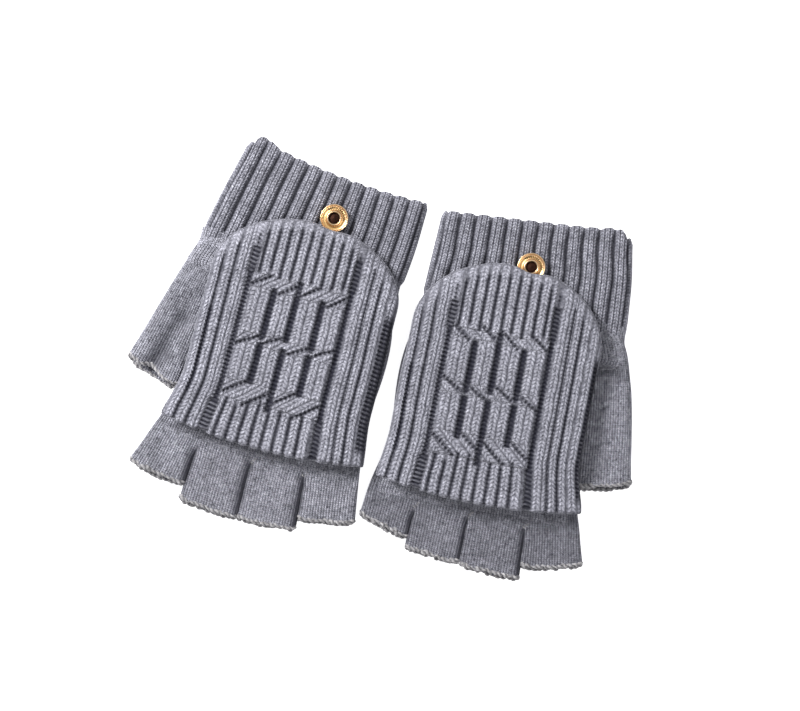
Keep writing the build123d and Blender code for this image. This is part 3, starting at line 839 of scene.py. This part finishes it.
def cable_chart(mirrored):
    """Dark lines between the cover's ribs and bars: (x0, y0, x1, y1, half width, kind), drawn for the left mitten.
    Two cables stand side by side, each of two bars that cross at three heights. Ribs run above and below them."""
    cable_wide = 24.8
    below, above = -8.0, 112.0
    lines = [(-40.3, below, -40.6, 14, 0.3, "soft"), (-40.6, 14, -41.0, 56, 0.55, "deep")]
    lines += [(-41.0, 56, -41.5, above, 0.3, "soft"), (-34.5, below, -35.5, above, 0.25, "soft")]
    lines += [(33.8, below, 33.2, above, 0.3, "soft"), (38.6, below, 38.2, above, 0.25, "soft")]
    lines += [(-26.3, below, -26.3, 12, 2.0, "ladder"), (-26.3, 12, -26.3, 79, 0.95, "deep")]
    lines += [(-26.3, 79, -26.3, 90, 1.7, "ladder"), (-26.3, 90, -26.3, above, 0.3, "soft")]
    lines += [(25.0, below, 25.0, 15, 1.6, "ladder"), (25.0, 15, 24.8, 82, 0.85, "deep")]
    lines += [(24.8, 82, 24.8, 96, 1.6, "ladder"), (24.8, 96, 24.8, above, 0.3, "soft")]
    lines += [(-0.7, 14, -0.7, 44, 1.2, "deep"), (-0.7, 50, -0.7, 79, 1.2, "deep")]
    low_ends = (14.5, 12.0, 17.0, 17.5, 17.9, 14.5, 13.5, 17.5)
    lines += [(x, below, x, end, 0.3, "soft") for x, end in zip(LOW_GUTTERS, low_ends)]
    high_starts = (80.0, 82.0, 79.0, 80.0, 81.5, 81.0, 79.0, 80.5, 82.0)
    lines += [(x, start, x, above, 0.3, "soft") for x, start in zip(HIGH_GUTTERS, high_starts)]
    slants = []
    for x in (0.0, cable_wide):
        lines += [(x - 12.5, 25.5, x - 12.5, 44.5, 1.3, "deep"), (x - 12.5, 48.5, x - 12.5, 72, 1.3, "deep")]
        slants += [(x - 24.0, 18.0, x - 13.0, 26.5), (x - 13.0, 13.5, x - 2.0, 22.0)]
        slants += [(x - 24.5, 42.5, x - 13.5, 49.0), (x - 11.5, 45.3, x - 1.5, 51.0)]
        slants += [(x - 24.0, 73.0, x - 15.5, 79.0), (x - 10.0, 71.0, x - 1.0, 78.0)]
    centre = -0.6
    for x0, y0, x1, y1 in slants:
        if mirrored:
            x0, x1, y0, y1 = 2 * centre - x0, 2 * centre - x1, y0 + 2.5, y1 + 2.5
        lines.append((x0, y0, x1, y1, 0.45, "dots"))
    return lines


def chart_fields(x, y, lines):
    """How far each point stands up, from the gutters' floor at 0 to the ribs' crests at 1, and how dark it is."""
    rise = np.ones(x.shape)
    dark = np.zeros(x.shape)
    wave = 0.3 * np.cos(math.tau * y / ROW)
    for x0, y0, x1, y1, half, kind in lines:
        length = math.hypot(x1 - x0, y1 - y0)
        along_x, along_y = (x1 - x0) / length, (y1 - y0) / length
        s = (x - x0) * along_x + (y - y0) * along_y
        inside = np.clip(s, 0, length)
        away = np.hypot(x - x0 - inside * along_x, y - y0 - inside * along_y)
        # Darkness of each line: for soft lines it is painted shade in a shallow gutter; for deep lines, ladders and
        # dots it is the dark plating yarn, with painted shade fading out round it
        if kind == "dots":
            dot = 0.5 + 0.5 * np.cos(math.tau * s / 2.3)
            gap, depth = np.maximum(away - half * dot, 0) * 1.1, 0.9
            shade = (1 - smooth(0.4, 1.55, away)) * (0.4 + 0.6 * dot)
        elif kind == "soft":
            gap, depth = np.maximum(away - half + 0.5 * wave, 0), 0.7
            shade = 0.72 * (1 - smooth(0.1, 1.25, away + wave))
        else:
            gap, depth = np.maximum(away - half + wave, 0), 1.0
            shade = 1 - smooth(half * 0.7, half + 0.85, away + wave)
        rise = np.minimum(rise, 1 - depth * (1 - dome(gap / 2.4)))
        dark = np.maximum(dark, shade)
    return rise, dark


def leg_knots(ribs):
    """Where legs of stitches start and end. Every rib starts on an even leg, so that its legs pair up as Vs."""
    x, legs, count = [], [], 0
    for low, high, held in ribs:
        x += [low, high]
        legs += [count, count + held]
        count += held + held % 2
    return x, legs


def count_stitches(x, y, mirrored):
    """Counts legs across and rows up the cover. Each rib and bar holds whole legs. They slant where bars cross."""
    legs = np.interp(x, *leg_knots(MIDDLE_RIBS))
    rows = y / ROW
    slope = -1.1 if mirrored else 1.1
    stretch = math.hypot(1, slope)
    lift = 2.5 * mirrored
    for low, high in CROSSINGS:
        crossing = (y > low + lift) & (y < high + lift) & (np.abs(x + 0.7) < 24.5)
        legs = np.where(crossing, 100 + (x - slope * (y - low)) / (LEG * stretch), legs)
        rows = np.where(crossing, (y + slope * x) / (ROW * stretch), rows)
    half = 0.45
    for gutters, zone in ((LOW_GUTTERS, y < RIBS_LOW), (HIGH_GUTTERS, y > RIBS_HIGH)):
        pitch = gutters[1] - gutters[0]
        ribs = [(x0 + half, x0 + pitch - half, 2) for x0 in [gutters[0] - pitch, *gutters]]
        ribbed = zone & (x > -24.0) & (x < 23.0)
        legs = np.where(ribbed, np.interp(x, *leg_knots(ribs)), legs)
        rows = np.where(ribbed, y / ROW, rows)
    return legs, rows


def stitch_height(u, v):
    """Height from 0 to 1 of plain knit stitches, where u counts columns and v counts rows: each column is Vs."""
    leg = np.abs(2 * (u % 1) - 1)
    across = 1 - np.abs(2 * leg - 1) ** 2.5
    along = 1 - np.abs(2 * ((v + 0.75 * leg) % 1) - 1) ** 3
    return across * (0.3 + 0.7 * along)


def cover_plan(m, p, q, inset=0.0):
    """Plan points of the cover, p from -1 to 1 across it and q from 0 at its mouth to 1 at its tip."""
    centre = -m.thumb * 1.0
    y_mouth = MOUTH_BOW * (1 - p**2) + inset * 0.4
    y_tip = TIP_START_Y + (m.tip_y - TIP_START_Y - inset) * np.sqrt(np.clip(1 - p**2, 0, 1))
    y_tip = y_tip - BUTTON_NOTCH[m.side] * np.exp(-(((centre + p * HALF_WIDE - m.button_x) / 7.5) ** 2))
    y = y_mouth + q * (y_tip - y_mouth)
    flare = FLARE + 2.2 * (p * m.thumb > 0)
    fuller = 0.8 * (p * m.thumb < 0) * (1 - smooth(45, 75, y))
    half = HALF_WIDE - inset + flare * (1 - smooth(-8, FLARE_Y, y)) * 1.1 + fuller
    return centre + p * half, y


def front_crest(y):
    return FRONT_TOP - TIP_DROP * smooth(*RISE, y)


def back_floor(y):
    return BACK_LOW + BACK_TIP_RISE * smooth(*RISE, y)


def boundary(rows, columns):
    """Row and column of each vertex round a grid's edge."""
    low = [(0, i) for i in range(columns - 1)]
    right = [(j, columns - 1) for j in range(rows - 1)]
    high = [(rows - 1, i) for i in range(columns - 1, 0, -1)]
    left = [(j, 0) for j in range(rows - 1, 0, -1)]
    return np.array(low + right + high + left)


def slab(outer, rings, inner, step):
    """A closed sheet: an outer grid, rings of points round its edge, and an inner grid with every step-th vertex.
    Returns its vertices and faces."""
    rows, columns, _ = outer.shape
    edge = boundary(rows, columns)
    n = len(edge)
    verts = [outer.reshape(-1, 3)] + list(rings) + [inner.reshape(-1, 3)]
    first = (edge[:, 0] * columns + edge[:, 1]).tolist()
    faces = grid_faces(rows, columns)[0].tolist()
    loops = [first] + [list(range(rows * columns + k * n, rows * columns + (k + 1) * n)) for k in range(len(rings))]
    for a, b in zip(loops, loops[1:]):
        faces += [[a[(k + 1) % n], a[k], b[k], b[(k + 1) % n]] for k in range(n)]
    start = rows * columns + len(rings) * n
    coarse_rows, coarse_columns, _ = inner.shape
    coarse = boundary(coarse_rows, coarse_columns)
    coarse = (coarse[:, 0] * coarse_columns + coarse[:, 1] + start).tolist()
    last = loops[-1]
    for k in range(len(coarse)):
        fine = [last[(k * step + s) % n] for s in range(step + 1)]
        faces.append(fine[::-1] + [coarse[k], coarse[(k + 1) % len(coarse)]])
    faces += (grid_faces(coarse_rows, coarse_columns)[0][:, ::-1] + start).tolist()
    return np.vstack(verts), faces


def edge_out(line):
    """Unit plan normals pointing out of a closed loop that runs anticlockwise."""
    ahead = np.roll(line, -3, axis=0) - np.roll(line, 3, axis=0)
    out = np.stack([ahead[:, 1], -ahead[:, 0]], 1)
    return out / np.maximum(np.linalg.norm(out, axis=1, keepdims=True), 1e-9)


def spread(count):
    """Shares from -1 to 1, closer together towards both ends."""
    t = np.linspace(-1, 1, count)
    return 0.5 * t + 0.5 * np.sin(math.pi / 2 * t)


def make_cover_front(m):
    """The cabled front panel with its mouth, side wall and tip, knitted in thick yarn."""
    step = 4
    columns, rows = step * 62 + 1, step * 76 + 1
    p, q = np.meshgrid(spread(columns), np.linspace(0, 1, rows))
    x, y = cover_plan(m, p, q)
    chart_x = -m.thumb * 1.0 + p * HALF_WIDE + CHART_SHIFT[m.side]
    tip_long = m.tip_y - TIP_START_Y
    radial = np.sqrt(p**2 + (np.clip(y - TIP_START_Y, 0, None) / tip_long) ** 2)
    from_edge = (1 - np.clip(radial, 0, 1)) * (HALF_WIDE - 9 * smooth(TIP_START_Y, m.tip_y, y))
    from_mouth = y - y[:1]
    tip_rim = smooth(80, 92, y) * (1 - smooth(4.0, 6.5, from_edge))

    rise, dark = chart_fields(chart_x, y, cable_chart(m.side == "right"))
    rise = rise * (1 - tip_rim) + 0.8 * tip_rim
    dark = dark * (1 - tip_rim)
    ladder = (np.abs(chart_x + 26.3) < 2.6) * ((y < 12) | (y > 79))
    ladder = ladder + (np.abs(chart_x - 25.0) < 2.3) * ((y < 15) | (y > 82))
    side_ladder = smooth(43.4, 44.4, p * HALF_WIDE - m.thumb) * smooth(2, 8, y) * (1 - smooth(70, 78, y))
    rung = (0.5 + 0.5 * np.cos(math.tau * (y + 0.15 * chart_x) / 2.15)) ** 1.3
    wide_gutter = smooth(0.6, 1.0, dark) * (1 - ladder)
    dark = np.maximum(dark, side_ladder)
    ladder = np.maximum(ladder * dark, side_ladder)
    rise = rise * (1 - side_ladder * 0.7) + (0.45 * ladder + 0.16 * wide_gutter) * rung
    dark = dark * (1 - (0.5 * ladder - 0.15 * side_ladder + 0.2 * wide_gutter) * rung)

    legs, row = count_stitches(chart_x, y, m.side == "right")
    wale = legs / 2 + 0.035 * ripple(x, y, 8, m.seed + 12)
    row = row + 0.30 * ripple(x, y, 15, m.seed + 13)
    plump = stitch_height(wale, row)
    ripples = 0.45 * ripple(x, y, 33, m.seed + 7) + 0.16 * ripple(x, y, 9, m.seed + 8)
    roll = 1.6 * (1 - dome(from_mouth / 2.2))
    shoulder = 3.4 * (1 - dome(from_edge / 7.0))
    z = front_crest(y) - RELIEF * (1 - rise) + 0.5 * (plump - 0.6) * (1 - 0.8 * dark) * (1 - 0.5 * tip_rim)
    z += ripples - roll - shoulder
    scallop = 1.0 * (rise - 0.5) * (1 - smooth(0, 5, from_mouth))
    outer = np.stack([x, y - scallop, z], -1)

    edge = boundary(rows, columns)
    rim = outer[edge[:, 0], edge[:, 1]]
    out = edge_out(rim[:, :2])
    at_mouth = (edge[:, 0] == 0) & (np.abs(p[0, edge[:, 1]]) < 0.999)
    front_low = FRONT_TOP - FRONT_THICK
    side_low = back_floor(rim[:, 1]) + 0.1 + (front_low - BACK_LOW) * (1 - smooth(1, 10, rim[:, 1]))
    low = np.minimum(np.where(at_mouth, front_low, side_low), rim[:, 2] - 0.8)
    profile = ((0.35, 0.10), (0.65, 0.28), (0.8, 0.5), (0.6, 0.75), (0.15, 0.93), (-0.5, 1.0), (-1.2, 0.97),
               (-1.7, 0.85))
    rings = []
    for reach, fall in profile:
        ring = rim.copy()
        ring[:, :2] += out * reach
        ring[:, 2] = rim[:, 2] + (low - rim[:, 2]) * fall
        rings.append(ring)
    inner_x, inner_y = cover_plan(m, p[::step, ::step], q[::step, ::step], 2.2)
    inner_z = front_crest(inner_y) - FRONT_THICK - 1.6 * (1 - dome(from_edge[::step, ::step] / 7.0))
    inner_z = np.minimum(inner_z, z[::step, ::step] - 1.2)
    inner = np.stack([inner_x, inner_y, inner_z], -1)
    verts, faces = slab(outer, rings, inner, step)

    side_wall = ~at_mouth & (rim[:, 0] > 0)
    wall_dark = np.where(side_wall, smooth(2, 8, rim[:, 1]) * (1 - smooth(66, 78, rim[:, 1])), 0)
    wall_rung = (0.5 + 0.5 * np.cos(math.tau * rim[:, 1] / 2.15)) ** 1.3
    ring_dark = np.concatenate([wall_dark * (1 - 0.5 * wall_rung) for _ in rings])
    run = np.r_[0, np.cumsum(np.linalg.norm(np.diff(rim[:, :2], axis=0), axis=1))]
    uv_rings = [np.stack([np.full(len(run), (fall * 9 + 0.5) / (2 * LEG)), run / ROW], 1) for _, fall in profile]
    uv_inner = np.stack([inner_x / (2 * LEG), inner_y / ROW], -1).reshape(-1, 2)
    uv_of = np.vstack([np.stack([wale, row], -1).reshape(-1, 2), *uv_rings, uv_inner])
    shades = {"dark": np.r_[dark.ravel(), ring_dark, np.zeros(inner_z.size)]}
    make_piece(
        m, "cover_front_knit", verts, faces, CABLE, uv=[uv_of[f] for f in faces], shades=shades, body="cover",
        replaces=("cover_front", "cover_rim", "cover_hem"), slot="cable_knit",
    )


def make_cover_back(m):
    """The plain panel that lies on the back of the hand, hemmed round the knuckle seam."""
    step = 2
    columns, rows = 2 * 64 + 1, 2 * 62 + 1
    p, q = np.meshgrid(spread(columns), np.linspace(0, 1, rows))
    inset = 2.1
    x, y = cover_plan(m, p, q, inset)
    start = KNUCKLE_Y - 1.0
    y = start + (y - y[:1]) / (y[-1:] - y[:1]) * (y[-1:] - start)
    x = -m.thumb * 1.0 + p * (HALF_WIDE - inset)
    z = back_floor(y) + BACK_THICK * 0.5
    top = np.stack([x, y, z + BACK_THICK * 0.45], -1)
    under = np.stack([x, y, z - BACK_THICK * 0.42], -1)[::step, ::step]
    edge = boundary(rows, columns)
    rim = top[edge[:, 0], edge[:, 1]]
    out = edge_out(rim[:, :2])
    rings = []
    for a in np.linspace(0, math.pi, 7)[1:-1]:
        ring = rim.copy()
        ring[:, :2] += out * 0.5 * math.sin(a)
        ring[:, 2] = back_floor(rim[:, 1]) + BACK_THICK * (0.5 + 0.44 * math.cos(a))
        rings.append(ring)
    verts, faces = slab(top, rings, under, step)
    uv_of = verts[:, :2] / [LEG * 0.9, ROW * 0.8]
    uv = [uv_of[np.array(f)] for f in faces]
    make_piece(
        m, "cover_back_knit", verts, faces, PANEL, uv=uv, shades={"dark": np.zeros(len(verts))}, body="cover",
        replaces=("cover_back",), slot="cover_edge_knit",
    )


# ---------------------------------------------------------------- seam, loop and button


def make_seam(m):
    """A twisted cord that the cover turns on, whipped down to the knuckles."""
    x = np.linspace(-42.5, 42.5, 90)
    line = np.stack([x, np.full(90, KNUCKLE_Y), np.full(90, m.hinge_z)], 1)
    cords = [cord(line, 0.5, pitch=1.8)]
    for centre in np.linspace(-39, 39, 14):
        a = np.linspace(-0.6, math.pi + 0.6, 14)
        loop = np.stack(
            [centre + a * 0.25, KNUCKLE_Y + 0.95 * np.cos(a), m.hinge_z - 0.55 + 1.05 * np.sin(a)], 1
        )
        cords.append(cord(loop, 0.26, pitch=1.2))
    cord_piece(m, "knuckle_seam_yarn", cords, SEWING, replaces=("knuckle_seam",), slot="sewing_yarn")


def button_centre(m):
    p = m.node("button_cap")
    return (p[:, :2].min(0) + p[:, :2].max(0)) / 2


def make_loop(m):
    centre = button_centre(m)
    low, high = (f(m.node("loop")[:, 2]) for f in (np.min, np.max))
    root_y = m.node("loop")[:, 1].min()
    radius = 0.5
    z_low, z_high = low + 0.55, high - 0.55
    turn = 3.2
    s = np.linspace(0, 1, 30)
    down_y = root_y + s * (centre[1] - 6 - root_y)
    down_z = z_high + (z_low - z_high) * smooth(0.1, 0.9, s)
    a = np.linspace(math.pi, 0, 30)
    near = np.stack([np.full(30, centre[0] - turn), down_y, down_z], 1)
    round_end = np.stack([centre[0] + turn * np.cos(a), centre[1] + turn * np.sin(a), np.full(30, z_low)], 1)
    far = near[::-1] * [1, 1, 1] + [2 * turn, 0, 0]
    path = np.vstack([near, round_end, far])
    cord_piece(m, "loop_cord", [cord(path, radius, pitch=1.1)], ELASTIC, body="cover", replaces=("loop",),
               slot="elastic_cord")


def make_loop_tack(m):
    """A bar tack: a close zigzag of sewing yarn over the loop's ends."""
    p = m.node("loop_tack")
    low, high = p.min(0), p.max(0)
    turns = 14
    x = np.repeat(np.linspace(low[0] + 0.4, high[0] - 0.4, turns), 2)
    y = np.tile([low[1] + 0.4, high[1] - 0.4, high[1] - 0.4, low[1] + 0.4], turns // 2)
    z = np.full(len(x), (low[2] + high[2]) / 2)
    cord_piece(m, "loop_bar_tack", [cord(np.stack([x, y, z], 1), 0.34, pitch=1.0)], SEWING, body="cover",
               replaces=("loop_tack",), slot="sewing_yarn")


TICKED = 2.5  # the arc of the button's channel that holds ticks, in radians


def make_button(m):
    """The turned cap: a rim ring, a channel with an arc of plain ticks, and a raised eyelet with its bore."""
    centre = button_centre(m)
    p = m.node("button_cap")
    r = np.hypot(*(p[:, :2] - centre).T)
    low, high, wide = p[:, 2].min(), p[:, 2].max(), r.max()
    floor = p[r > wide - 0.1, 2].min()
    bore = r.min()
    eye_in, eye_out, rim_in = 0.38 * wide, 0.56 * wide, 0.89 * wide
    channel, rim_top = floor + 1.0, floor + 1.9
    outline = [
        (bore, low), (0.33 * wide, low + 0.1), (0.34 * wide, floor), (wide - 0.5, floor), (wide - 0.1, floor + 0.3),
        (wide, floor + 0.9), (wide - 0.06, rim_top - 0.35), (wide - 0.2, rim_top - 0.08), (wide - 0.4, rim_top),
        (rim_in + 0.15, rim_top - 0.12), (rim_in, rim_top - 0.4), (rim_in - 0.12, channel + 0.25),
        (rim_in - 0.4, channel + 0.03), (eye_out + 0.45, channel), (eye_out + 0.1, channel + 0.3),
        (eye_out - 0.15, high - 0.45), (eye_out - 0.4, high - 0.08), (eye_out - 0.62, high),
        (eye_in + 0.42, high - 0.05), (eye_in + 0.15, high - 0.4), (eye_in, high - 1.1),
        (eye_in - 0.1, channel - 0.2), (bore + 0.3, channel - 0.25), (bore, channel - 0.4),
    ]
    profile = curve(outline + outline[:1], np.linspace(0, 1, 121))[:-1]
    spokes, ticks = 192, 32
    a = np.arange(spokes) * math.tau / spokes
    radius, z = profile[:, :1] + a * 0, profile[:, 1:] + a * 0
    in_channel = np.exp(-(((radius - (eye_out + rim_in) / 2) / 0.62) ** 4)) * (z > channel - 0.2) * (z < rim_top)
    tick = (smooth(0.25, 0.75, np.cos(ticks * a)) * (a < TICKED))[None, :]
    z = z + 0.35 * in_channel * tick
    grid = np.stack([centre[0] + radius * np.cos(a), centre[1] + radius * np.sin(a), z], -1)
    faces = grid_faces(len(profile), spokes, True, True)[0]
    piece = make_piece(m, "button_cap_gold", grid.reshape(-1, 3), faces, GOLD, body="button",
                       replaces=("button_cap",), slot="gold_brass")
    piece.data.materials.append(AGED)
    piece.data.materials.append(DULL)
    in_eye = (radius < eye_in + 0.05).ravel()
    dull = (in_channel > 0.2).ravel()
    inked = (in_channel * tick > 0.3).ravel()
    piece.data.polygons.foreach_set("material_index", np.where(in_eye | inked, 1, 2 * dull).astype(np.int32))
    tack = frame["nodes"][f"{m.side}_button_tack"]
    tack.data.materials.clear()
    tack.data.materials.append(AGED)


for side in ("left", "right"):
    mitten = Mitten(side)
    make_cuff(mitten)
    make_hand(mitten)
    make_fingers(mitten)
    make_thumb(mitten)
    make_cover_front(mitten)
    make_cover_back(mitten)
    make_seam(mitten)
    make_loop(mitten)
    make_loop_tack(mitten)
    make_button(mitten)


# ---------------------------------------------------------------- floor, light and camera


def make_floor():
    mesh = bpy.data.meshes.new("floor")
    reach, below = 30.0, -0.0010
    mesh.from_pydata([(x, y, below) for x, y in ((-reach, -reach), (reach, -reach), (reach, reach), (-reach, reach))],
                     [], [(0, 1, 2, 3)])
    floor = bpy.data.objects.new("floor", mesh)
    bpy.context.scene.collection.objects.link(floor)
    sh = Shader("floor_paper")
    sh.surface.inputs["Base Color"].default_value = (0.9, 0.9, 0.9, 1)
    sh.surface.inputs["Roughness"].default_value = 0.9
    sh.surface.inputs["Specular IOR Level"].default_value = 0.1
    sh.surface.inputs["Emission Color"].default_value = (1, 1, 1, 1)
    sh.surface.inputs["Emission Strength"].default_value = 0.8
    mesh.materials.append(sh.material)


def make_light(name, at, aim, size, power):
    data = bpy.data.lights.new(name, "AREA")
    data.shape, data.size, data.energy = "DISK", size, power
    lamp = bpy.data.objects.new(name, data)
    lamp.location = at
    direction = bpy.data.objects.new(name + "_aim", None)
    direction.location = aim
    for made in (lamp, direction):
        bpy.context.scene.collection.objects.link(made)
    track = lamp.constraints.new("TRACK_TO")
    track.target = direction
    track.track_axis, track.up_axis = "TRACK_NEGATIVE_Z", "UP_Y"


def make_camera():
    """Straight down on the pair, framing 400 mm across."""
    look_at, distance, framed, sensor = (0.010387, 0.001527), 1.2, 0.4, 36.0
    data = bpy.data.cameras.new("camera")
    data.sensor_width, data.lens = sensor, sensor * distance / framed
    camera = bpy.data.objects.new("camera", data)
    camera.location = (*look_at, distance + HAND_TOP * MM)
    bpy.context.scene.collection.objects.link(camera)
    bpy.context.scene.camera = camera


def make_world(strength):
    """A soft white surround. The camera sees it as plain white, like the floor."""
    world = bpy.data.worlds.new("studio")
    world.use_nodes = True
    tree = world.node_tree
    back = tree.nodes["Background"]
    back.inputs["Color"].default_value = (0.97, 0.98, 1.0, 1)
    path = tree.nodes.new("ShaderNodeLightPath")
    reach = tree.nodes.new("ShaderNodeMapRange")
    reach.inputs["To Min"].default_value = strength
    reach.inputs["To Max"].default_value = 1.05
    tree.links.new(path.outputs["Is Camera Ray"], reach.inputs["Value"])
    tree.links.new(reach.outputs["Result"], back.inputs["Strength"])
    bpy.context.scene.world = world


make_floor()
make_light("key", (-0.75, 0.60, 0.85), (0.0, 0.0, 0.0), 0.45, 24.0)
make_light("fill", (0.8, -0.7, 1.3), (0.0, 0.0, 0.0), 1.2, 4.0)
make_camera()
make_world(0.5)
bpy.context.scene.view_settings.view_transform = "Standard"
